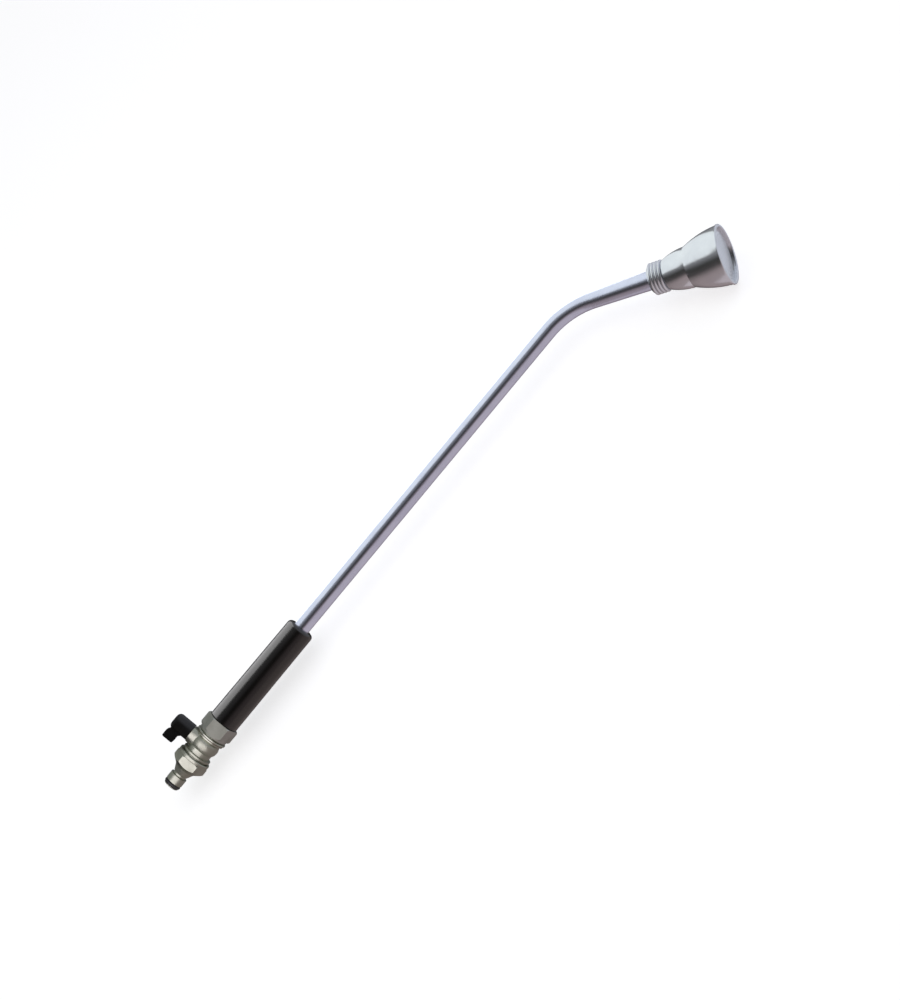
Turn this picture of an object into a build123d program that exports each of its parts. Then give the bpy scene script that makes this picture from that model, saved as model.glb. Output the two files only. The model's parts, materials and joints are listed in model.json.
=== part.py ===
"""Watering wand: quick plug, ball valve, union, grip, bent tube and bell-shaped rose.

Frame, in millimetres: the origin is the centre of the plug's open end, +X runs up the straight
tube and +Z is up with the wand lying down, its bend level. The head turns towards -Y. Threads
are plain cylinders at their outer diameter, with a running clearance between the pair.
"""
import os
from math import cos, pi, radians, sin, sqrt, tan

from build123d import *

# ---- clearances -------------------------------------------------------------------------------
fit = 0.05  # radial clearance of a running fit, a thread pair or a seal on its seat
face_gap = 0.05  # between flat faces that press on each other
soft_gap = 0.3  # between a moulded part and a neighbour that moves past it
seal_gap = 0.02  # between an O-ring and the faces that squeeze it
groove_play = 0.1  # on either side of an O-ring in its groove
edge_break = 0.5  # turned-down edges of the metal parts

# ---- overall layout ---------------------------------------------------------------------------
bend_x = 589.0  # from the plug's open end to the corner where both tube axes meet
bend_angle = 43.0  # degrees between the straight tube and the head
bend_radius = 70.0  # of the tube's centreline
valve_clock = 43.0  # degrees of the valve stem above the level plane, towards +Y
overlap = 1.0  # how far tools that only cut reach past what they cut

# ---- plug -------------------------------------------------------------------------------------
plug_bore_r = 4.0
nose_lip_r = 7.7
nose_lip_length = 0.9
plug_ring_section_r = 1.7
plug_ring_r = 8.55  # outer radius of the O-ring
collar_r = 8.6  # locking collar
collar_length = 7.8
waist_r = 6.8  # locking groove behind the collar
waist_length = 2.6
cone_root_r = 7.6
cone_top_r = 10.8
cone_length = 6.2
shoulder_length = 5.2  # steep shoulder from the cone up to the hex
plug_wall = 1.8  # of the hexagon at its flats, outside the thread
plug_hex_length = 7.0
plug_rim_length = 3.4  # round collar behind the hex
hex_chamfer = 1.2
plug_thread_depth = 10.4
washer_thickness = 2.4
washer_bore_r = 6.0
thread_gap = 1.2  # bare thread between the plug and the valve's flange

# ---- valve ------------------------------------------------------------------------------------
inlet_thread_r = 13.15  # outer radius of the 3/4 inch pipe thread
valve_bore_r = 5.2
ball_r = 9.2
ball_play = 0.1  # between the ball and its seats
seat_bore_r = 5.3
seat_depth = 4.4  # along the flow
seat_backing = 0.8  # from the ball's end to the flat face behind a seat
cavity_play = 0.45  # radial, from the ball to the body's bore around it
ball_x = 51.0  # ball centre and stem axis
inlet_flange_r = 15.0
inlet_flange_length = 2.7
body_wall = 1.45  # outside the end cap's thread, at the body's groove
body_bulge_height = 2.0
body_bulge_half_length = 5.8
outlet_flange_height = 2.5
outlet_rise = 1.2  # steep step from the bulge up to the outlet flange
outlet_flange_length = 1.2
boss_top_r = 8.9
boss_root_r = 12.0
boss_height = 8.2  # above the ball
stem_r = 4.0
stem_flange_r = 5.8
stem_flange_thickness = 1.5
stem_foot_gap = 0.45  # from the ball's top to the stem's flange
thrust_washer_thickness = 0.8
tongue_width = 3.4
tongue_r = 4.8
slot_depth = 2.6
stem_flats = 6.0  # across the two flats under the lever
stem_ring_section_r = 0.6
stem_ring_spacing = 2.2
stem_stand = 11.6  # of the stem above the boss

# ---- lever ------------------------------------------------------------------------------------
hub_r = 8.5
hub_height = 20.2
hub_dome = 4.6  # rounding of the hub's top
arm_reach = 19.0  # from the stem's axis to the arm's end
arm_thickness = 12.0
arm_width = 9.6
arm_drop = 0.6  # from the hub's top to the arm's top
arm_rounding = 2.2
arm_web = 2.4  # slanted fill under the arm, where it meets the hub
notch_depth = 2.6  # V-shaped notch between arm and hub
notch_x = 8.0
screw_r = 1.5
screw_head_r = 2.75
screw_head_height = 2.0
screw_length = 9.0
screw_recess_r = 3.6
screw_web = 1.7  # of the hub, under the screw's head
screw_hole_spare = 0.5  # depth of the stem's hole past the screw's end
screw_chamfer = 0.3
key_flats = 2.0  # hexagon socket in the screw's head

# ---- end cap and union ------------------------------------------------------------------------
spigot_wall = 1.25  # of the end cap's thread, around the seat
end_gasket_thickness = 0.5
cap_flange_height = 2.75  # above the union thread
cap_flange_length = 2.0
union_thread_length = 11.5
cap_mouth_r = 7.5
cap_throat_length = 2.0  # straight part of the waterway behind the seat
cap_taper_length = 4.0
nut_skirt_length = 2.6
nut_gap = 1.0  # between the end cap's flange and the nut
nut_wall = 1.8  # at its flats and its skirt, outside the thread
nut_lip = 2.2
union_gasket_thickness = 0.95
gasket_bore_r = 8.0
tail_flange_thickness = 1.4
slip_ring_thickness = 0.65
tail_wall = 3.2
tail_flange_height = 1.7
tail_lip_gap = 0.25  # radial, between the tail and the nut's lip
tail_length = 28.0
tail_stop = 4.0  # from the flange's back face to the tube's end
tail_seal_inset = 5.0  # from the tail's end to the middle of its O-ring
tail_flange_play = 0.25  # radial, between the flange and the nut's thread
seal_section_r = 0.8  # O-rings around the tube

# ---- tube and grip ----------------------------------------------------------------------------
tube_r = 8.0
tube_wall = 1.2
swage = 1.2  # how much wider the tube's head end is, in radius
swage_end = 84.0  # from the corner, along the head's axis
grip_wall = 3.55  # outside the tail piece
grip_taper = 0.55  # how much slimmer the top is, in radius
grip_length = 116.3
grip_gap = 0.3  # between the nut and the grip
grip_end_rounding = 4.0
grip_edge = 0.8

# ---- head adaptor (stations are from the corner, along the head's axis) -----------------------
adaptor_start = 88.5
adaptor_length = 15.0
adaptor_wall = 4.5  # from the tube to the foot of the ribs
adaptor_rib_height = 1.6
adaptor_ribs = 4
adaptor_lead_drop = 1.3
adaptor_lead_length = 1.4  # cone at the collar's tube end
socket_depth = 10.5
adaptor_step = 1.1  # the tube end rests on it, in radius
rose_thread_wall = 3.35  # outside the tube
rose_thread_length = 10.1
tube_end_gap = 0.5  # from the tube's end to the bottom of its socket

# ---- rose -------------------------------------------------------------------------------------
rose_gap = 0.5  # between the collar and the shell's neck
neck_wall = 1.7
shell_wall = 1.6
rose_gasket_thickness = 1.5
screen_rim = 0.2  # how far the screen reaches past the adaptor's bore, in radius
screen_thickness = 0.6
screen_hole_r = 0.7
screen_hole_pitch = 1.8
web_thickness = 2.0
web_bore_r = 9.5
waist_station = 126.8
waist_ring_r = 19.4
shoulder_station = 112.6
shoulder_r = 17.4
bell_station = 140.4
bell_drop = 3.3  # from the mouth to the middle of the bell, in radius
mouth_station = 161.0
mouth_r = 27.8
face_seat_depth = 3.4
mouth_wall = 1.5  # outside the face's edge
face_gasket_thickness = 0.8
face_gasket_width = 1.7
face_thickness = 1.2
face_bulge = 2.2
face_margin = 2.5  # from the outer ring of holes to the rim
face_ring_pitch = 3.2
face_hole_r = 0.6
rim_overhang = 0.6
rim_lip = 1.1  # how far the rim covers the face
rim_thickness = 1.5
diffuser_station = 134.0
diffuser_thickness = 1.5
diffuser_hole_r = 2.2
diffuser_holes = 12
diffuser_hole_circle_r = 14.0

# ---- thread leads -----------------------------------------------------------------------------
union_pitch = 1.814
rose_pitch = 1.5
thread_turns = 5  # turns from tight to nearly off, on both threads

# ---- radii and widths worked out from the sizes -----------------------------------------------
plug_hex_flats = 2 * (inlet_thread_r + fit + plug_wall)
cavity_r = ball_r + cavity_play
spigot_r = cavity_r + spigot_wall
body_groove_r = spigot_r + fit + body_wall
body_bulge_r = body_groove_r + body_bulge_height
outlet_flange_r = body_groove_r + outlet_flange_height
tail_r = tube_r + tail_wall
tail_flange_r = tail_r + tail_flange_height
union_thread_r = tail_flange_r + tail_flange_play
cap_flange_r = union_thread_r + cap_flange_height
nut_skirt_r = union_thread_r + fit + nut_wall
nut_flats = 2 * nut_skirt_r
grip_r = tail_r + grip_wall
swaged_r = tube_r + swage
adaptor_base_r = swaged_r + adaptor_wall
adaptor_bore_r = swaged_r - adaptor_step
rose_thread_r = swaged_r + rose_thread_wall
neck_r = rose_thread_r + fit + neck_wall
screen_r = adaptor_bore_r + screen_rim
bell_r = mouth_r - bell_drop
face_seat_r = mouth_r - mouth_wall
rim_r = mouth_r + rim_overhang
rim_lip_r = face_seat_r - rim_lip
face_rings = int((rim_lip_r - face_margin) / face_ring_pitch)

# ---- places worked out from the sizes ---------------------------------------------------------
collar_start = nose_lip_length + 2 * (plug_ring_section_r + groove_play)
collar_end = collar_start + collar_length
cone_start = collar_end + waist_length
cone_end = cone_start + cone_length
plug_hex_start = cone_end + shoulder_length
plug_hex_end = plug_hex_start + plug_hex_length
plug_end = plug_hex_end + plug_rim_length
plug_rim_r = plug_hex_flats / sqrt(3) - hex_chamfer / 2
cup_bottom = plug_end - plug_thread_depth

valve_start = cup_bottom + washer_thickness
inlet_flange_start = plug_end + thread_gap
inlet_flange_end = inlet_flange_start + inlet_flange_length
seat_back = ball_x - ball_r - ball_play - seat_backing  # flat faces behind the two seats
seat_front = 2 * ball_x - seat_back
bulge_start = ball_x - body_bulge_half_length
bulge_end = ball_x + body_bulge_half_length
valve_end = bulge_end + outlet_rise + outlet_flange_length
spigot_start = ball_x + stem_flange_r + 4 * fit  # just clear of the stem's flange
cap_flange_start = valve_end + end_gasket_thickness
cap_flange_end = cap_flange_start + cap_flange_length
union_thread_end = cap_flange_end + union_thread_length

nut_start = cap_flange_end + nut_gap
union_gasket_start = union_thread_end + face_gap
tail_start = union_gasket_start + union_gasket_thickness + face_gap
tail_flange_end = tail_start + tail_flange_thickness
slip_ring_start = tail_flange_end + face_gap
nut_lip_start = slip_ring_start + slip_ring_thickness + face_gap
nut_end = nut_lip_start + nut_lip
tail_end = tail_start + tail_length
tube_start = tail_flange_end + tail_stop
grip_start = nut_end + grip_gap
grip_end = grip_start + grip_length

tangent = bend_radius * tan(radians(bend_angle / 2))  # from the corner to either end of the bend

adaptor_end = adaptor_start + adaptor_length
tube_end = adaptor_start + socket_depth - tube_end_gap
rose_thread_end = adaptor_end + rose_thread_length
rose_gasket_start = rose_thread_end + face_gap
rose_gasket_end = rose_gasket_start + rose_gasket_thickness
shell_start = adaptor_end + rose_gap
web_start = rose_gasket_end + face_gap
web_end = web_start + web_thickness
face_seat = mouth_station - face_seat_depth
face_edge = face_seat + face_gasket_thickness + 2 * face_gap
rim_spigot_start = face_edge + face_thickness + face_gap
rim_start = mouth_station + face_gap

flange_top = ball_r + stem_foot_gap + stem_flange_thickness  # stem stations, from the ball's centre
washer_top = flange_top + face_gap + thrust_washer_thickness
stem_shoulder = washer_top + face_gap
boss_top = ball_r + boss_height
stem_top = boss_top + stem_stand
boss_middle = (stem_shoulder + boss_top) / 2
stem_ring_heights = (boss_middle - stem_ring_spacing / 2, boss_middle + stem_ring_spacing / 2)
stem_ring_middle_r = stem_r + fit - seal_gap - stem_ring_section_r
hub_bottom = boss_top + soft_gap
hub_top = hub_bottom + hub_height
web_top = stem_top + soft_gap + screw_web


# ---- shared shapes ----------------------------------------------------------------------------
def turned(*points):
    """A solid of revolution about X from (station, radius) points."""
    return revolve(make_face(Polyline(*points, close=True)), Axis.X)


def rod(start, end, radius, end_radius=None):
    """A round rod about X; with an end radius it's a cone."""
    if end_radius is None:
        end_radius = radius
    return turned((start, 0), (start, radius), (end, end_radius), (end, 0))


def ring(start, end, bore_r, outer_r):
    """A flat ring about X."""
    return turned((start, bore_r), (start, outer_r), (end, outer_r), (end, bore_r))


def o_ring(station, middle_r, section_r):
    """An O-ring about X."""
    return revolve(Pos(station, middle_r) * Circle(section_r), Axis.X)


def ring_groove(station, bottom_r, section_r):
    """The room that an O-ring's groove takes, from the axis outwards."""
    half_width = section_r + groove_play
    return rod(station - half_width, station + half_width, bottom_r)


def hexagon(start, end, flats):
    """A hexagonal prism about X, with one corner towards the valve stem."""
    outline = RegularPolygon(flats / 2, 6, major_radius=False, rotation=valve_clock)
    return extrude(Plane.YZ.offset(start) * outline, end - start)


def chamfered_hexagon(start, end, flats):
    """A hexagon whose corners are turned down at both ends."""
    corner_r = flats / sqrt(3)
    low_r = corner_r - hex_chamfer
    envelope = turned(
        (start, 0),
        (start, low_r),
        (start + hex_chamfer, corner_r),
        (end - hex_chamfer, corner_r),
        (end, low_r),
        (end, 0),
    )
    return hexagon(start, end, flats) & envelope


def upright(start, end, radius, end_radius=None):
    """A round rod about Z, or a cone, from one height to another."""
    if end_radius is None:
        end_radius = radius
    return Rot(0, -90, 0) * rod(start, end, radius, end_radius)


def upright_ring(start, end, bore_r, outer_r):
    """A flat ring about Z."""
    return upright(start, end, outer_r) - upright(start - overlap, end + overlap, bore_r)


stem_place = Pos(ball_x, 0, 0) * Rot(valve_clock - 90, 0, 0)  # Z of a piece becomes the stem's axis
head_place = Pos(bend_x, 0, 0) * Rot(0, 0, -bend_angle)  # X of a piece becomes the head's axis


# ---- plug -------------------------------------------------------------------------------------
def hose_plug():
    """Nose with an O-ring groove and locking collar, cone, hexagon and a threaded cup."""
    groove_r = plug_ring_r - 2 * plug_ring_section_r - seal_gap
    nose = turned(
        (0, 0),
        (0, nose_lip_r - edge_break),
        (edge_break, nose_lip_r),
        (nose_lip_length, nose_lip_r),
        (nose_lip_length, groove_r),
        (collar_start, groove_r),
        (collar_start, collar_r - edge_break),
        (collar_start + edge_break, collar_r),
        (collar_end, collar_r),
        (collar_end + edge_break, waist_r),
        (cone_start - edge_break, waist_r),
        (cone_start, cone_root_r),
        (cone_end, cone_top_r),
        (cone_end, 0),
    )
    corner_r = plug_hex_flats / sqrt(3)
    envelope = turned(
        (cone_end, 0),
        (cone_end, cone_top_r),
        (plug_hex_start, corner_r),
        (plug_hex_end - hex_chamfer, corner_r),
        (plug_hex_end, corner_r - hex_chamfer),
        (plug_hex_end, 0),
    )
    hex_part = hexagon(cone_end, plug_hex_end, plug_hex_flats) & envelope
    rim = turned(
        (plug_hex_end, 0),
        (plug_hex_end, plug_rim_r - edge_break),
        (plug_hex_end + edge_break, plug_rim_r),
        (plug_end - edge_break, plug_rim_r),
        (plug_end, plug_rim_r - edge_break),
        (plug_end, 0),
    )
    body = nose + hex_part + rim
    body -= rod(-overlap, cup_bottom + overlap, plug_bore_r)
    return body - rod(cup_bottom, plug_end + overlap, inlet_thread_r + fit)


def plug_o_ring():
    station = nose_lip_length + groove_play + plug_ring_section_r
    return o_ring(station, plug_ring_r - plug_ring_section_r, plug_ring_section_r)


def plug_washer():
    return ring(cup_bottom + face_gap, valve_start - face_gap, washer_bore_r, inlet_thread_r - 4 * fit)


# ---- valve ------------------------------------------------------------------------------------
def body_outline():
    """The valve body's outer profile: inlet thread, flange, groove, bulge and outlet flange."""
    outline = [
        Polyline(
            (bulge_end, body_groove_r),
            (bulge_end + outlet_rise, outlet_flange_r),
            (valve_end, outlet_flange_r),
            (valve_end, 0),
            (valve_start, 0),
            (valve_start, inlet_thread_r - edge_break),
            (valve_start + edge_break, inlet_thread_r),
            (inlet_flange_start, inlet_thread_r),
            (inlet_flange_start, inlet_flange_r - edge_break),
            (inlet_flange_start + edge_break, inlet_flange_r),
            (inlet_flange_end - edge_break, inlet_flange_r),
            (inlet_flange_end, body_groove_r),
            (bulge_start, body_groove_r),
        ),
        ThreePointArc((bulge_start, body_groove_r), (ball_x, body_bulge_r), (bulge_end, body_groove_r)),
    ]
    return revolve(make_face(outline), Axis.X)


def valve_body():
    """Body with the ball's cavity, the end cap's thread, and a boss around the stem."""
    boss = stem_place * upright(0, boss_top, boss_root_r, boss_top_r)
    between_flanges = rod(inlet_flange_end, valve_end - outlet_flange_length, 2 * boss_top)
    body = body_outline() + (boss & between_flanges)
    body -= rod(valve_start - overlap, seat_back + overlap, valve_bore_r)
    body -= rod(seat_back, valve_end + overlap, cavity_r)
    body -= rod(spigot_start - face_gap, valve_end + overlap, spigot_r + fit)
    body -= stem_place * upright(ball_r / 2, stem_shoulder, stem_flange_r + fit)
    return body - stem_place * upright(ball_r, boss_top + overlap, stem_r + fit)


def valve_ball():
    """Ball with its through bore, and the slot that the stem's tongue turns it by."""
    slot_width = tongue_width + 2 * fit
    slot = Pos(0, 0, ball_r - slot_depth + ball_r / 2) * Box(3 * ball_r, slot_width, ball_r)
    ball = Sphere(ball_r) - slot - Rot(0, 90, 0) * Cylinder(valve_bore_r, 3 * ball_r)
    return stem_place * ball


def seat():
    """Ball seat on the inlet side: a ring whose inner edge is part of a sphere."""
    blank = ring(seat_back + face_gap, seat_back + seat_depth, seat_bore_r, cavity_r - fit)
    return blank - Pos(ball_x, 0, 0) * Sphere(ball_r + ball_play)


def outlet_seat():
    return mirror(seat(), Plane.YZ.offset(ball_x))


def valve_stem():
    """Tongue, retaining flange, shaft with two ring grooves, and two flats under the lever."""
    tongue_bottom = ball_r - slot_depth + 2 * fit
    tongue = upright(tongue_bottom, flange_top, tongue_r) & Pos(0, 0, ball_r) * Box(
        4 * tongue_r, tongue_width, 4 * ball_r
    )
    flange = upright(ball_r + stem_foot_gap, flange_top, stem_flange_r)
    shaft = upright(flange_top - overlap, stem_top, stem_r)
    groove_bottom_r = stem_ring_middle_r - stem_ring_section_r - seal_gap
    half_width = stem_ring_section_r + groove_play
    for height in stem_ring_heights:
        shaft -= upright_ring(height - half_width, height + half_width, groove_bottom_r, stem_r + overlap)
    top_height = stem_top - hub_bottom
    flat_depth = stem_r - stem_flats / 2
    for side in (-1, 1):
        offset = side * (stem_flats / 2 + flat_depth)
        shaft -= Pos(0, offset, hub_bottom + top_height / 2) * Box(
            3 * stem_r, 2 * flat_depth, top_height
        )
    stem = tongue + flange + shaft
    screw_hole_bottom = web_top - screw_length - screw_hole_spare
    return stem_place * (stem - upright(screw_hole_bottom, stem_top + overlap, screw_r + fit))


def stem_o_rings():
    one = Torus(stem_ring_middle_r, stem_ring_section_r)
    return stem_place * Compound([Pos(0, 0, height) * one for height in stem_ring_heights])


def stem_thrust_washer():
    return stem_place * upright_ring(flange_top + face_gap, washer_top, stem_r + fit, stem_flange_r - fit)


# ---- lever ------------------------------------------------------------------------------------
def lever_handle():
    """Domed hub on the stem's flats and a thick short arm towards the plug."""
    hub = upright(hub_bottom, hub_top, hub_r)
    hub = fillet(hub.edges().group_by(Axis.Z)[-1], hub_dome)
    arm_top = hub_top - arm_drop
    arm_middle = arm_top - arm_thickness / 2
    arm = Pos(-arm_reach / 2, 0, arm_middle) * Box(arm_reach, arm_width, arm_thickness)
    end_edges = arm.edges().group_by(Axis.X)[0]
    arm = fillet(end_edges, arm_rounding)
    notch = Polyline(
        (-notch_x - 2 * notch_depth, arm_top + overlap),
        (-notch_x, arm_top - notch_depth),
        (-notch_x + 2 * notch_depth, arm_top + overlap),
        close=True,
    )
    arm -= extrude(Plane.XZ * make_face(notch), arm_width, both=True)
    arm -= Pos(0, 0, arm_middle) * Cylinder(hub_r - overlap, 2 * arm_thickness)
    arm_bottom = arm_top - arm_thickness
    web = upright(arm_bottom - arm_web, arm_bottom, hub_r, hub_r + arm_web)
    web &= Pos(-hub_r, 0, arm_bottom) * Box(2 * hub_r, arm_width, 2 * arm_web)
    lever = hub + arm + web
    socket = upright(hub_bottom - overlap, stem_top + soft_gap, stem_r + fit)
    across = stem_flats + 2 * fit
    socket &= Pos(0, 0, stem_top / 2) * Box(4 * stem_r, across, 4 * stem_top)
    lever -= socket
    lever -= upright(hub_bottom, web_top + overlap, screw_r + 2 * fit)
    return stem_place * (lever - upright(web_top, hub_top + overlap, screw_recess_r))


def lever_screw():
    """Cheese-head screw with a hexagon socket."""
    head = upright(web_top + face_gap, web_top + face_gap + screw_head_height, screw_head_r)
    head = chamfer(head.edges().group_by(Axis.Z)[-1], screw_chamfer)
    shank = upright(web_top + face_gap - screw_length, web_top + 2 * face_gap, screw_r)
    key = RegularPolygon(key_flats / 2, 6, major_radius=False)
    socket = extrude(Plane.XY.offset(web_top + screw_head_height / 2) * key, screw_head_height)
    return stem_place * (head + shank - socket)


# ---- end cap and union ------------------------------------------------------------------------
def valve_end_cap():
    """Spigot that holds the outlet seat, a round flange and the union's male thread."""
    body = turned(
        (spigot_start, 0),
        (spigot_start, spigot_r),
        (cap_flange_start, spigot_r),
        (cap_flange_start, cap_flange_r - edge_break),
        (cap_flange_start + edge_break, cap_flange_r),
        (cap_flange_end - edge_break, cap_flange_r),
        (cap_flange_end, cap_flange_r - edge_break),
        (cap_flange_end, union_thread_r),
        (union_thread_end - edge_break, union_thread_r),
        (union_thread_end, union_thread_r - edge_break),
        (union_thread_end, 0),
    )
    throat_end = seat_front + cap_throat_length
    waterway = turned(
        (seat_front - overlap, 0),
        (seat_front - overlap, valve_bore_r),
        (throat_end, valve_bore_r),
        (throat_end + cap_taper_length, cap_mouth_r),
        (union_thread_end + overlap, cap_mouth_r),
        (union_thread_end + overlap, 0),
    )
    return body - waterway - rod(spigot_start - overlap, seat_front, cavity_r)


def end_cap_gasket():
    outer_r = outlet_flange_r - edge_break
    return ring(valve_end + face_gap, cap_flange_start - face_gap, spigot_r + 2 * fit, outer_r)


def union_nut():
    """Hexagon nut with a round skirt and an inner lip that pulls on the tail's flange."""
    hex_start = nut_start + nut_skirt_length
    skirt = turned(
        (nut_start, 0),
        (nut_start, nut_skirt_r - edge_break),
        (nut_start + edge_break, nut_skirt_r),
        (hex_start + hex_chamfer, nut_skirt_r),
        (hex_start + hex_chamfer, 0),
    )
    nut = skirt + chamfered_hexagon(hex_start, nut_end, nut_flats)
    nut -= rod(nut_start - overlap, nut_lip_start, union_thread_r + fit)
    return nut - rod(nut_lip_start - overlap, nut_end + overlap, tail_r + tail_lip_gap)


def nut_slip_ring():
    return ring(slip_ring_start, nut_lip_start - face_gap, tail_r + fit, tail_flange_r)


def union_gasket():
    gasket_end = union_gasket_start + union_gasket_thickness
    return ring(union_gasket_start, gasket_end, gasket_bore_r, tail_flange_r)


def tail_piece():
    """Flanged socket for the tube, with a groove for its O-ring."""
    body = rod(tail_start, tail_flange_end, tail_flange_r) + rod(tail_start, tail_end, tail_r)
    body -= rod(tail_start - overlap, tube_start, tube_r - tube_wall)
    body -= rod(tube_start, tail_end + overlap, tube_r + fit)
    groove_r = tube_r + 2 * (seal_gap + seal_section_r)
    return body - ring_groove(tail_end - tail_seal_inset, groove_r, seal_section_r)


def tail_o_ring():
    return o_ring(tail_end - tail_seal_inset, tube_r + seal_gap + seal_section_r, seal_section_r)


# ---- grip and tube ----------------------------------------------------------------------------
def grip_sleeve():
    """Soft sleeve over the tail piece and the tube, slightly slimmer at the top."""
    sleeve = rod(grip_start, grip_end, grip_r, grip_r - grip_taper)
    sleeve = fillet(sleeve.edges().group_by(Axis.X)[-1], grip_end_rounding)
    sleeve = fillet(sleeve.edges().group_by(Axis.X)[0], grip_edge)
    sleeve -= rod(grip_start - overlap, tail_end + soft_gap, tail_r + fit)
    return sleeve - rod(tail_end, grip_end + overlap, tube_r + fit)


def bent_bar(radius, head_radius, start, end):
    """Solid bar along the tube's centreline: straight run, bend and swaged head run."""
    straight = rod(start, bend_x - tangent, radius)
    section = Plane(origin=(bend_x - tangent, 0, 0), z_dir=(1, 0, 0)) * Circle(radius)
    bend_axis = Axis((bend_x - tangent, -bend_radius, 0), (0, 0, -1))
    bend = revolve(section, bend_axis, bend_angle)
    swage = rod(tangent, swage_end, radius, head_radius)
    head_run = swage + rod(swage_end, end, head_radius)
    return straight + bend + head_place * head_run


def wand_tube():
    outside = bent_bar(tube_r, swaged_r, tube_start + face_gap, tube_end)
    bore_r = tube_r - tube_wall
    inside = bent_bar(bore_r, swaged_r - tube_wall, tube_start - overlap, tube_end + overlap)
    return outside - inside


# ---- head adaptor -----------------------------------------------------------------------------
def head_adaptor():
    """Ribbed collar on the tube's end, and the rose's male thread."""
    ribs_start = adaptor_start + adaptor_lead_length
    rib_pitch = (adaptor_end - edge_break - ribs_start) / adaptor_ribs
    outline = [
        Polyline(
            (adaptor_end - edge_break, adaptor_base_r),
            (adaptor_end, adaptor_base_r - edge_break),
            (adaptor_end, rose_thread_r),
            (rose_thread_end - edge_break, rose_thread_r),
            (rose_thread_end, rose_thread_r - edge_break),
            (rose_thread_end, 0),
            (adaptor_start, 0),
            (adaptor_start, adaptor_base_r - adaptor_lead_drop),
            (ribs_start, adaptor_base_r),
        )
    ]
    for rib in range(adaptor_ribs):
        left = ribs_start + rib * rib_pitch
        root = (left, adaptor_base_r)
        crest = (left + rib_pitch / 2, adaptor_base_r + adaptor_rib_height)
        outline.append(ThreePointArc(root, crest, (left + rib_pitch, adaptor_base_r)))
    body = revolve(make_face(outline), Axis.X)
    socket_end = adaptor_start + socket_depth
    body -= rod(adaptor_start - overlap, socket_end, swaged_r + fit)
    body -= rod(socket_end - overlap, rose_thread_end + overlap, adaptor_bore_r)
    groove_r = swaged_r + 2 * (seal_gap + seal_section_r)
    body -= ring_groove(adaptor_start + socket_depth / 2, groove_r, seal_section_r)
    return head_place * body


def adaptor_o_ring():
    middle_r = swaged_r + seal_gap + seal_section_r
    return head_place * o_ring(adaptor_start + socket_depth / 2, middle_r, seal_section_r)


# ---- rose -------------------------------------------------------------------------------------
def rose_gasket():
    return head_place * ring(rose_gasket_start, rose_gasket_end, screen_r + fit, rose_thread_r - 4 * fit)


def filter_screen():
    """Round screen held in the gasket, with a grid of holes."""
    middle = (rose_gasket_start + rose_gasket_end) / 2
    screen = rod(middle - screen_thickness / 2, middle + screen_thickness / 2, screen_r)
    hole = Pos(middle, 0, 0) * Rot(0, 90, 0) * Cylinder(screen_hole_r, 2 * screen_thickness)
    reach = screen_r - 2 * screen_hole_r
    steps = int(reach / screen_hole_pitch)
    holes = []
    for row in range(-steps, steps + 1):
        for column in range(-steps, steps + 1):
            y = row * screen_hole_pitch
            z = column * screen_hole_pitch
            if y * y + z * z < reach * reach:
                holes.append(Pos(0, y, z) * hole)
    return head_place * (screen - holes)


def bell(inset):
    """The space inside the bell's curve, moved in by inset: two arcs that meet at the waist."""
    start = (shell_start, neck_r - inset)
    waist = (waist_station, waist_ring_r - inset)
    mouth = (mouth_station, mouth_r - inset)
    outline = [
        ThreePointArc(start, (shoulder_station, shoulder_r - inset), waist),
        ThreePointArc(waist, (bell_station, bell_r - inset), mouth),
        Polyline(mouth, (mouth_station, 0), (shell_start, 0), start),
    ]
    return revolve(make_face(outline), Axis.X)


def rose_shell():
    """Bell-shaped shell: threaded neck, inner web, bell and the face's seat."""
    hollow = bell(shell_wall) & rod(web_end, mouth_station + overlap, 2 * mouth_r)
    shell = bell(0) - hollow
    shell -= rod(shell_start - overlap, web_start, rose_thread_r + fit)
    shell -= rod(web_start - overlap, web_end + overlap, web_bore_r)
    return head_place * (shell - rod(face_seat, mouth_station + overlap, face_seat_r))


def diffuser_disc():
    """Disc wedged in the bell, with a circle of large holes and one in the middle."""
    room = bell(shell_wall) & rod(diffuser_station - overlap, diffuser_station, 2 * mouth_r)
    disc_r = room.bounding_box().max.Y - 2 * fit
    disc = rod(diffuser_station, diffuser_station + diffuser_thickness, disc_r)
    drill = Rot(0, 90, 0) * Cylinder(diffuser_hole_r, 4 * diffuser_thickness)
    hole = Pos(diffuser_station, 0, 0) * drill
    holes = [hole]
    for index in range(diffuser_holes):
        holes.append(Rot(index * 360 / diffuser_holes, 0, 0) * Pos(0, 0, diffuser_hole_circle_r) * hole)
    return head_place * (disc - holes)


def face_gasket():
    outer_r = face_seat_r - fit
    seal = ring(face_seat + face_gap, face_edge - face_gap, outer_r - face_gasket_width, outer_r)
    return head_place * seal


def face_plate():
    """Convex face with rings of fine holes around the middle one."""
    flat_r = rim_lip_r
    middle = face_edge + face_bulge
    halfway = face_edge + 0.75 * face_bulge
    front = face_edge + face_thickness
    outline = [
        ThreePointArc((face_edge, flat_r), (halfway, flat_r / 2), (middle, 0)),
        Line((middle, 0), (middle + face_thickness, 0)),
        ThreePointArc(
            (middle + face_thickness, 0), (halfway + face_thickness, flat_r / 2), (front, flat_r)
        ),
        Polyline(
            (front, flat_r), (front, face_seat_r - fit), (face_edge, face_seat_r - fit), (face_edge, flat_r)
        ),
    ]
    plate = revolve(make_face(outline), Axis.X)
    hole = Pos(middle, 0, 0) * Rot(0, 90, 0) * Cylinder(face_hole_r, 4 * face_bulge)
    holes = [hole]
    for ring_number in range(1, face_rings + 1):
        count = 6 * ring_number
        for index in range(count):
            turn = Rot(index * 360 / count, 0, 0)
            holes.append(turn * Pos(0, 0, ring_number * face_ring_pitch) * hole)
    return head_place * (plate - holes)


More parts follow.
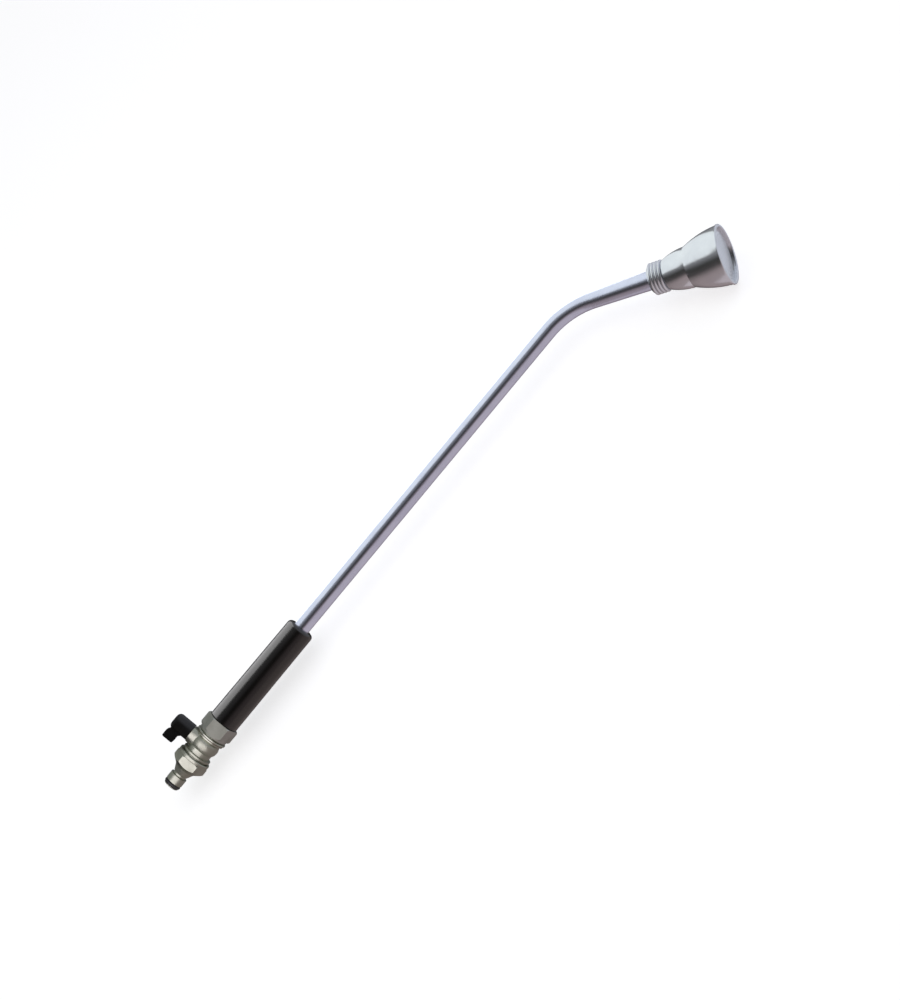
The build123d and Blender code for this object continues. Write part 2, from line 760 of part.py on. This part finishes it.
def rim_ring():
    """Rim with a spigot that presses the face's edge on its seat."""
    spigot_r_out = face_seat_r - fit
    rim_end = rim_start + rim_thickness
    rim = turned(
        (rim_spigot_start, rim_lip_r),
        (rim_spigot_start, spigot_r_out),
        (rim_start, spigot_r_out),
        (rim_start, rim_r),
        (rim_end - edge_break, rim_r),
        (rim_end, rim_r - edge_break),
        (rim_end, rim_lip_r + edge_break),
        (rim_end - edge_break, rim_lip_r),
    )
    return head_place * rim


nodes = {
    "hose_plug": hose_plug,
    "plug_o_ring": plug_o_ring,
    "plug_washer": plug_washer,
    "valve_body": valve_body,
    "valve_ball": valve_ball,
    "inlet_seat": seat,
    "outlet_seat": outlet_seat,
    "valve_stem": valve_stem,
    "stem_thrust_washer": stem_thrust_washer,
    "stem_o_rings": stem_o_rings,
    "lever_handle": lever_handle,
    "lever_screw": lever_screw,
    "valve_end_cap": valve_end_cap,
    "end_cap_gasket": end_cap_gasket,
    "union_nut": union_nut,
    "nut_slip_ring": nut_slip_ring,
    "union_gasket": union_gasket,
    "tail_piece": tail_piece,
    "tail_o_ring": tail_o_ring,
    "grip_sleeve": grip_sleeve,
    "wand_tube": wand_tube,
    "head_adaptor": head_adaptor,
    "adaptor_o_ring": adaptor_o_ring,
    "rose_gasket": rose_gasket,
    "filter_screen": filter_screen,
    "rose_shell": rose_shell,
    "diffuser_disc": diffuser_disc,
    "face_gasket": face_gasket,
    "face_plate": face_plate,
    "rim_ring": rim_ring,
}

os.makedirs("parts", exist_ok=True)
for name, make in nodes.items():
    export_step(make(), f"parts/{name}.step")

# the numbers that the joints need
print("stem axis at x", ball_x, "direction", (0, cos(radians(valve_clock)), sin(radians(valve_clock))))
print("head direction", (cos(radians(bend_angle)), -sin(radians(bend_angle)), 0))
print("union travel", thread_turns * union_pitch, "per radian", union_pitch / (2 * pi))
print("rose travel", thread_turns * rose_pitch, "per radian", rose_pitch / (2 * pi))
print("plug collar", collar_start, collar_end, "plug bore ends", cup_bottom)
print("nut", nut_start, nut_end, "grip", grip_start, grip_end, "tube", tube_start)
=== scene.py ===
"""Looks of the watering wand: finishes, real threads, floor, studio light and camera."""
import json
import math

import bmesh
import bpy
from mathutils import Matrix, Vector


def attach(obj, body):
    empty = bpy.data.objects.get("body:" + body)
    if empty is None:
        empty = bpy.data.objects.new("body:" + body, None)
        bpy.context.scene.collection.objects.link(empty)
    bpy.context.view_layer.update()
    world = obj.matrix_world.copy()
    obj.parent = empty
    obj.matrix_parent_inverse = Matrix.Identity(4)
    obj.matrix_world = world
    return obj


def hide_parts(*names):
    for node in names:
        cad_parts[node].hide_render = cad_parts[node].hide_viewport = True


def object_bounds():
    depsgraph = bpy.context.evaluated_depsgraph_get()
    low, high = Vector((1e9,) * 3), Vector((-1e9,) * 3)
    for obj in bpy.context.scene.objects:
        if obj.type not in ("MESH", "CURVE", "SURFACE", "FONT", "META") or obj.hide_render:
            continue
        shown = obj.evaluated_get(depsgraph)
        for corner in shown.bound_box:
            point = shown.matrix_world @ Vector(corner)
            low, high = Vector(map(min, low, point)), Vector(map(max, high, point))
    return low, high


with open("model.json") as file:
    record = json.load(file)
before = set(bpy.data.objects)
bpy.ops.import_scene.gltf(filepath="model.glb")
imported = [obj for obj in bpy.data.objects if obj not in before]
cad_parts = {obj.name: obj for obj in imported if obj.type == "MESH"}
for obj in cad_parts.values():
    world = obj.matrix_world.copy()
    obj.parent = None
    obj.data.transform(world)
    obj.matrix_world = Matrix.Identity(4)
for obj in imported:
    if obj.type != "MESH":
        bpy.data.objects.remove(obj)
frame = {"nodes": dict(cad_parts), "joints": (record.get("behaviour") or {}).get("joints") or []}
cad_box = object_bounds()
nodes = frame["nodes"]
shown = dict(nodes)  # the objects that show: the CAD nodes, or the pieces that replace them
joints = {joint["name"]: joint for joint in frame["joints"]}

# ---- directions and places read from the frame ------------------------------------------------
AXIS = Vector((1, 0, 0))  # up the straight tube
STEM = -Vector(joints["lever_turn"]["axis"]).normalized()  # out along the valve's stem
STEM_FOOT = Vector(joints["lever_turn"]["pos_m"])  # the ball's centre
HEAD = Vector(joints["rose_turn"]["axis"]).normalized()  # out along the head
CORNER = Vector(joints["rose_turn"]["pos_m"])  # where the tube's two axes meet
SIGHT = AXIS.cross(STEM)  # from the wand to the camera: the stem stands square to it

# ---- groups of nodes that are lit alike -------------------------------------------------------
ALUMINIUM = ["wand_tube", "rose_shell", "head_adaptor", "face_plate", "rim_ring"]
NICKEL = ["hose_plug", "valve_body", "valve_end_cap", "plug_o_ring"]

# ---- threads, in metres: the CAD has a plain cylinder at each thread's outer radius -----------
UNION_THREAD = {"radius": 0.01315, "pitch": 0.001814, "depth": 0.0010}  # 3/4 inch pipe thread
ROSE_THREAD = {"radius": 0.01255, "pitch": 0.0015, "depth": 0.0008}
THREAD_COLUMNS = 96  # vertices round a thread
THREAD_ROWS = 12  # rings of vertices to each turn
THREAD_RUN_OUT = 0.6  # of the pitch, at each end
SHARP_EDGE = math.radians(28)


# ---- camera -----------------------------------------------------------------------------------
def add_camera():
    """A 50 mm view from 1.33 m, rolled so that the straight tube climbs to the right."""
    climb = math.radians(50.29)
    distance = 1.333
    midway = Vector((0.3738, 0, 0))
    right = math.cos(climb) * AXIS - math.sin(climb) * STEM
    up = math.sin(climb) * AXIS + math.cos(climb) * STEM
    aim = midway + 0.0269 * right - 0.0158 * up
    place = Matrix((right, up, SIGHT)).transposed().to_4x4()
    place.translation = aim + distance * SIGHT
    data = bpy.data.cameras.new("camera")
    data.lens = 50.4
    data.sensor_width = 36.0
    data.clip_end = 50.0
    camera = bpy.data.objects.new("camera", data)
    camera.matrix_world = place
    bpy.context.scene.collection.objects.link(camera)
    bpy.context.scene.camera = camera


# ---- node helpers -----------------------------------------------------------------------------
class Tree:
    """Builds a shader's nodes: add() makes one node and links or sets its inputs."""

    def __init__(self, owner):
        owner.use_nodes = True
        self.tree = owner.node_tree
        self.tree.nodes.clear()

    def add(self, kind, out=0, inputs=None, **settings):
        node = self.tree.nodes.new(kind)
        for name, value in settings.items():
            setattr(node, name, value)
        for key, value in (inputs or {}).items():
            socket = node.inputs[key]
            if isinstance(value, bpy.types.NodeSocket):
                self.tree.links.new(value, socket)
            else:
                socket.default_value = value
        return node.outputs[out] if node.outputs else node

    def math(self, operation, a, b):
        inputs = {0: a, 1: b}
        return self.add("ShaderNodeMath", inputs=inputs, operation=operation)

    def dot(self, vector, direction):
        inputs = {0: vector, 1: tuple(direction)}
        return self.add("ShaderNodeVectorMath", "Value", inputs, operation="DOT_PRODUCT")

    def ramp(self, factor, stops):
        """A colour ramp; stops are (position, colour) pairs."""
        node = self.tree.nodes.new("ShaderNodeValToRGB")
        elements = node.color_ramp.elements
        while len(elements) < len(stops):
            elements.new(1.0)
        for element, (position, colour) in zip(elements, stops):
            element.position = position
            element.color = (*colour, 1.0)
        self.tree.links.new(factor, node.inputs[0])
        return node.outputs[0]

    def noise(self, vector, scale, detail=3.0, roughness=0.5):
        inputs = {"Vector": vector, "Scale": scale, "Detail": detail, "Roughness": roughness}
        return self.add("ShaderNodeTexNoise", "Fac", inputs)

    def spread(self, value, low, high):
        """Maps 0.3..0.7, where a noise mostly lies, to low..high."""
        inputs = {"Value": value, "From Min": 0.3, "From Max": 0.7, "To Min": low, "To Max": high}
        return self.add("ShaderNodeMapRange", inputs=inputs)

    def mix(self, factor, first, second):
        """A blend of two colours; the Mix node's colour sockets are inputs 6 and 7, output 2."""
        inputs = {0: factor, 6: first, 7: second}
        return self.add("ShaderNodeMix", 2, inputs, data_type="RGBA")

    def bump(self, height, distance, under=None):
        """A normal from a height, over another bump's normal if there is one."""
        inputs = {"Height": height, "Distance": distance}
        if under:
            inputs["Normal"] = under
        return self.add("ShaderNodeBump", inputs=inputs)

    def finish(self, **inputs):
        """The Principled shader with these inputs, and the output."""
        values = {name.replace("_", " "): value for name, value in inputs.items()}
        shader = self.add("ShaderNodeBsdfPrincipled", inputs=values)
        self.add("ShaderNodeOutputMaterial", inputs={"Surface": shader})


def object_space(tree, origin=(0, 0, 0), along=AXIS):
    """Coordinates whose X runs along a direction, in metres."""
    place = tree.add("ShaderNodeTexCoord", "Object")
    turn = Vector(along).rotation_difference(AXIS).to_euler()
    from_origin = {0: place, 1: tuple(origin)}
    moved = tree.add("ShaderNodeVectorMath", inputs=from_origin, operation="SUBTRACT")
    inputs = {"Vector": moved, "Rotation": tuple(turn)}
    return tree.add("ShaderNodeMapping", inputs=inputs, vector_type="POINT")


def stretched(tree, vector, x, y, z):
    inputs = {0: vector, 1: (x, y, z)}
    return tree.add("ShaderNodeVectorMath", inputs=inputs, operation="MULTIPLY")


# ---- materials --------------------------------------------------------------------------------
def metal(
    name,
    colour,
    dull_colour,
    roughness,
    grain=(1, 1, 1),
    grain_depth=2e-6,
    along=AXIS,
    origin=(0, 0, 0),
    unevenness=1e-5,
):
    """Satin metal with a grain, faint clouding, uneven polish and a slightly uneven surface."""
    material = bpy.data.materials.new(name)
    tree = Tree(material)
    place = object_space(tree, origin, along)
    fine = tree.noise(stretched(tree, place, *grain), 900.0, 4.0, 0.6)
    cloud = tree.noise(place, 60.0, 4.0, 0.55)
    wave = tree.noise(place, 130.0, 2.0, 0.5)
    shade = tree.mix(tree.spread(cloud, 0.0, 1.0), (*colour, 1), (*dull_colour, 1))
    low, high = roughness
    streaks = tree.spread(fine, 0.0, 0.35 * (high - low))
    polish = tree.math("ADD", streaks, tree.spread(cloud, low, high))
    tree.finish(
        Base_Color=shade,
        Metallic=1.0,
        Roughness=polish,
        Normal=tree.bump(fine, grain_depth, tree.bump(wave, unevenness)),
    )
    return material


def soft(
    name, colour, worn_colour, roughness, grain_scale=1400.0, grain_depth=2e-5, ior=1.5
):
    """Rubber, plastic or fibre: fine grain, slight mottling and handled patches."""
    material = bpy.data.materials.new(name)
    tree = Tree(material)
    place = object_space(tree)
    grain = tree.noise(place, grain_scale, 3.0, 0.6)
    patches = tree.noise(place, 45.0, 5.0, 0.6)
    wear = tree.spread(patches, 0.0, 1.0)
    low, high = roughness
    tree.finish(
        Base_Color=tree.mix(wear, (*colour, 1), (*worn_colour, 1)),
        Roughness=tree.spread(patches, low, high),
        IOR=ior,
        Normal=tree.bump(grain, grain_depth),
    )
    return material


def paint(material, *names):
    """Gives CAD nodes a material."""
    for name in names:
        mesh = nodes[name].data
        mesh.materials.clear()
        mesh.materials.append(material)


def add_materials():
    tube = metal(
        "tube_aluminium",
        (0.76, 0.79, 0.92),
        (0.70, 0.73, 0.87),
        roughness=(0.20, 0.28),
        grain=(0.02, 1, 1),
    )
    head = metal(
        "head_aluminium",
        (0.84, 0.86, 0.88),
        (0.78, 0.80, 0.83),
        roughness=(0.14, 0.22),
        grain=(1, 0.02, 0.02),
        grain_depth=1e-6,
        along=HEAD,
        origin=CORNER,
    )
    collar = metal(
        "collar_aluminium",
        (0.84, 0.86, 0.88),
        (0.78, 0.80, 0.83),
        roughness=(0.28, 0.36),
        grain=(0.05, 1, 1),
        grain_depth=1e-6,
        along=HEAD,
        origin=CORNER,
    )
    nickel = metal(
        "nickel",
        (0.485, 0.505, 0.42),
        (0.36, 0.375, 0.30),
        roughness=(0.28, 0.42),
        grain_depth=6e-6,
        unevenness=5e-4,
    )
    nut = metal(
        "nickel_nut",
        (0.57, 0.585, 0.535),
        (0.41, 0.42, 0.375),
        roughness=(0.40, 0.56),
        grain_depth=1e-5,
        unevenness=7e-4,
    )
    brass = metal("turned_brass", (0.80, 0.62, 0.30), (0.66, 0.50, 0.24), (0.2, 0.3))
    steel = metal("steel", (0.70, 0.70, 0.72), (0.60, 0.60, 0.62), (0.2, 0.3))
    chrome = metal(
        "ball_chrome", (0.86, 0.86, 0.88), (0.80, 0.80, 0.82), (0.04, 0.08), grain_depth=2e-7
    )
    grip = soft(
        "grip_rubber",
        (0.0025, 0.0018, 0.0013),
        (0.0045, 0.0035, 0.0025),
        roughness=(0.20, 0.27),
        ior=1.7,
    )
    lever = soft(
        "lever_plastic",
        (0.006, 0.006, 0.006),
        (0.011, 0.011, 0.010),
        roughness=(0.30, 0.42),
        grain_scale=2200.0,
        grain_depth=1e-5,
    )
    seal = soft(
        "seal_rubber",
        (0.010, 0.010, 0.010),
        (0.018, 0.017, 0.017),
        roughness=(0.35, 0.5),
        grain_scale=2600.0,
        grain_depth=5e-6,
    )
    seat = soft(
        "seat_plastic",
        (0.80, 0.80, 0.78),
        (0.74, 0.73, 0.70),
        roughness=(0.25, 0.4),
        grain_scale=1200.0,
        grain_depth=5e-6,
    )
    fibre = soft(
        "fibre",
        (0.20, 0.05, 0.03),
        (0.28, 0.09, 0.06),
        roughness=(0.7, 0.85),
        grain_scale=3000.0,
        grain_depth=3e-5,
    )
    paint(tube, "wand_tube")
    paint(head, "rose_shell", "face_plate", "rim_ring")
    paint(collar, "head_adaptor")
    paint(nickel, "hose_plug", "valve_body", "valve_end_cap")
    paint(nut, "union_nut")
    paint(brass, "valve_stem", "tail_piece")
    paint(steel, "lever_screw", "filter_screen", "diffuser_disc")
    paint(chrome, "valve_ball")
    paint(grip, "grip_sleeve")
    paint(lever, "lever_handle")
    paint(seal, "plug_o_ring", "plug_washer", "stem_o_rings", "union_gasket", "tail_o_ring")
    paint(seal, "adaptor_o_ring", "rose_gasket", "face_gasket")
    paint(seat, "inlet_seat", "outlet_seat", "stem_thrust_washer", "nut_slip_ring")
    paint(fibre, "end_cap_gasket")


# ---- threads ----------------------------------------------------------------------------------
def cylinder_faces(mesh, place, radius):
    """The faces of a plain cylinder round place's X axis, and where it starts and ends."""
    back = place.inverted()
    turn = back.to_3x3()
    local = {vertex: back @ vertex.co for vertex in mesh.verts}
    on_cylinder = {
        vertex for vertex, p in local.items() if abs(math.hypot(p.y, p.z) - radius) < 2e-6
    }
    faces = [
        face
        for face in mesh.faces
        if all(vertex in on_cylinder for vertex in face.verts)
        and abs((turn @ face.normal).x) < 0.1
    ]
    ends = [local[vertex].x for face in faces for vertex in face.verts]
    return faces, min(ends), max(ends)


def add_thread_surface(mesh, place, start, end, radius, pitch, depth):
    """A rounded helical thread between start and end. Returns its first and last rings."""
    rows = round((end - start) / pitch * THREAD_ROWS)
    margin = (end - start) / rows  # to each rim, where the bridging faces go
    rings = []
    for row in range(rows + 1):
        along = start + margin + (end - start - 2 * margin) * row / rows
        run_out = min(1.0, min(along - start, end - along) / (THREAD_RUN_OUT * pitch))
        ring = []
        for column in range(THREAD_COLUMNS):
            turn = column / THREAD_COLUMNS
            groove = 0.5 - 0.5 * math.cos(2 * math.pi * ((along - start) / pitch - turn))
            out = radius - depth * groove * run_out
            angle = 2 * math.pi * turn
            point = Vector((along, out * math.cos(angle), out * math.sin(angle)))
            ring.append(mesh.verts.new(place @ point))
        rings.append(ring)
    for lower, upper in zip(rings, rings[1:]):
        for i in range(THREAD_COLUMNS):
            j = (i + 1) % THREAD_COLUMNS
            mesh.faces.new((lower[i], lower[j], upper[j], upper[i]))
    return rings[0], rings[-1]


def cut_thread(node, body, origin, direction, thread):
    """Replaces a CAD node by a copy whose plain thread cylinder has a rounded thread.

    The crests stay on the cylinder and the roots lie inside it, so the piece keeps to the
    CAD solid. The thread runs out at both ends.
    """
    turn = AXIS.rotation_difference(Vector(direction).normalized())
    place = Matrix.Translation(origin) @ turn.to_matrix().to_4x4()
    mesh = bmesh.new()
    mesh.from_mesh(nodes[node].data)
    bmesh.ops.remove_doubles(mesh, verts=mesh.verts, dist=1e-7)
    faces, start, end = cylinder_faces(mesh, place, thread["radius"])
    bmesh.ops.delete(mesh, geom=faces, context="FACES")
    rims = [edge for edge in mesh.edges if edge.is_boundary]
    rings = add_thread_surface(mesh, place, start, end, **thread)
    back = place.inverted()
    middle = (start + end) / 2
    for ring, first in zip(rings, (True, False)):
        edges = [mesh.edges.get((a, b)) for a, b in zip(ring, ring[1:] + ring[:1])]
        rim = [edge for edge in rims if ((back @ edge.verts[0].co).x < middle) == first]
        bmesh.ops.bridge_loops(mesh, edges=edges + rim)
    bmesh.ops.recalc_face_normals(mesh, faces=mesh.faces)
    name = node + "_threaded"
    data = bpy.data.meshes.new(name)
    mesh.to_mesh(data)
    mesh.free()
    data.materials.append(nodes[node].data.materials[0])
    data.shade_smooth()
    data.set_sharp_from_angle(angle=SHARP_EDGE)
    piece = bpy.data.objects.new(name, data)
    bpy.context.scene.collection.objects.link(piece)
    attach(piece, body)
    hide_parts(node)
    shown[node] = piece


def add_threads():
    """The two threads that show when the union nut or the rose is backed off."""
    cut_thread("valve_end_cap", "valve", Vector(), AXIS, UNION_THREAD)
    cut_thread("head_adaptor", "wand", CORNER, HEAD, ROSE_THREAD)


# ---- studio -----------------------------------------------------------------------------------
def add_world():
    """A dim studio with a dark gap in front of the wand, level with the bend's plane.

    The metal mirrors it; the camera itself sees plain white beyond the floor.
    """
    world = bpy.data.worlds.new("studio")
    bpy.context.scene.world = world
    tree = Tree(world)
    ray = tree.add("ShaderNodeTexCoord", "Generated")
    height = tree.dot(ray, STEM + 0.2 * AXIS)
    sides = tree.ramp(
        tree.math("ADD", tree.math("MULTIPLY", height, 0.5), 0.5),
        [
            (0.0, (0.34, 0.29, 0.30)),
            (0.26, (0.31, 0.255, 0.26)),
            (0.41, (0.06, 0.055, 0.055)),
            (0.57, (0.035, 0.035, 0.033)),
            (0.70, (0.17, 0.17, 0.18)),
            (1.0, (0.26, 0.27, 0.27)),
        ],
    )
    inputs = {"Value": tree.dot(ray, AXIS), "From Min": 0.38, "From Max": 0.7}
    beyond = tree.add("ShaderNodeMapRange", inputs=inputs, interpolation_type="SMOOTHSTEP")
    sky = tree.mix(beyond, sides, (0.62, 0.64, 0.72, 1))
    seen = tree.mix(tree.add("ShaderNodeLightPath", "Is Camera Ray"), sky, (1, 1, 1, 1))
    background = tree.add("ShaderNodeBackground", inputs={"Color": seen, "Strength": 1.0})
    tree.add("ShaderNodeOutputWorld", inputs={"Surface": background})


def add_floor():
    lowest = cad_box[0].z
    half = 6.0
    sides = [(-1, -1), (1, -1), (1, 1), (-1, 1)]
    corners = [(half * x, half * y, lowest) for x, y in sides]
    mesh = bpy.data.meshes.new("floor")
    mesh.from_pydata(corners, [], [(0, 1, 2, 3)])
    floor = bpy.data.objects.new("floor", mesh)
    bpy.context.scene.collection.objects.link(floor)
    material = bpy.data.materials.new("floor_paper")
    tree = Tree(material)
    tree.finish(
        Base_Color=(0.95, 0.95, 0.95, 1),
        Roughness=0.9,
        Emission_Color=(1, 1, 1, 1),
        Emission_Strength=0.66,
    )
    mesh.materials.append(material)
    floor.visible_glossy = False
    return floor


def add_light(name, target, direction, distance, size, radiance, colour, lit):
    """A rectangular soft light that faces a target and lights only some objects.

    size is across the wand's axis, then along it. radiance is what the softbox looks like in
    a mirror, so it doesn't change with the size.
    """
    direction = Vector(direction).normalized()
    across = direction.cross(AXIS).normalized()
    along = across.cross(direction).normalized()
    data = bpy.data.lights.new(name, "AREA")
    data.shape = "RECTANGLE"
    data.size, data.size_y = size
    data.energy = radiance * math.pi * size[0] * size[1]
    data.color = colour
    light = bpy.data.objects.new(name, data)
    place = Matrix((across, along, direction)).transposed().to_4x4()
    place.translation = target + distance * direction
    light.matrix_world = place
    light.visible_camera = False
    bpy.context.scene.collection.objects.link(light)
    group = bpy.data.collections.new("lit by " + name)
    for piece in lit:
        group.objects.link(piece)
    light.light_linking.receiver_collection = group


def at_angle(degrees, lean=0.0):
    """A direction turned about the wand's axis from the camera's side towards the stem's."""
    turn = math.radians(degrees)
    return math.cos(turn) * SIGHT + math.sin(turn) * STEM + lean * AXIS


def add_lights(floor):
    """Each softbox lights the pieces that mirror it, as flags on stands would make it do."""
    aluminium = [shown[name] for name in ALUMINIUM]
    nickel = [shown[name] for name in NICKEL]
    nut = [shown["union_nut"]]
    grip = [shown["grip_sleeve"]]
    tube = [shown["wand_tube"]]
    middle = Vector((0.3, 0, 0))
    forward = -0.26  # lean of the valve's front lights, towards the plug
    key, back, fill = at_angle(104), at_angle(165), at_angle(-80)
    add_light("key", middle, key, 1.0, (3.2, 1.8), 0.70, (0.91, 0.965, 0.985), aluminium)
    add_light("back", middle, back, 1.0, (1.2, 1.8), 0.95, (0.95, 0.98, 1.0), tube)
    add_light("fill", middle, fill, 1.0, (2.6, 1.8), 0.20, (0.92, 0.90, 1.0), aluminium)
    above, below = at_angle(98), at_angle(-95)
    add_light("grip key", middle, above, 1.0, (1.5, 1.5), 2.45, (1.0, 0.99, 1.0), grip)
    add_light("grip fill", middle, below, 1.0, (2.0, 1.5), 0.16, (1.0, 0.84, 0.70), grip)
    front, nut_front, top = at_angle(9, forward), at_angle(4, forward), at_angle(105)
    add_light("front", STEM_FOOT, front, 1.0, (1.5, 1.3), 1.95, (0.97, 0.90, 1.0), nickel)
    add_light("valve top", STEM_FOOT, top, 1.0, (2.0, 1.5), 0.11, (1.0, 1.0, 0.96), nickel + nut)
    add_light("nut front", STEM_FOOT, nut_front, 1.0, (1.6, 1.6), 0.5, (1.0, 0.96, 0.96), nut)
    add_light("floor wash", middle, (0, 0, 1), 1.6, (1.8, 1.8), 0.55, (1.0, 1.0, 1.0), [floor])


add_camera()
add_materials()
add_threads()
add_world()
add_lights(add_floor())

settings = bpy.context.scene.view_settings
settings.view_transform = "Standard"
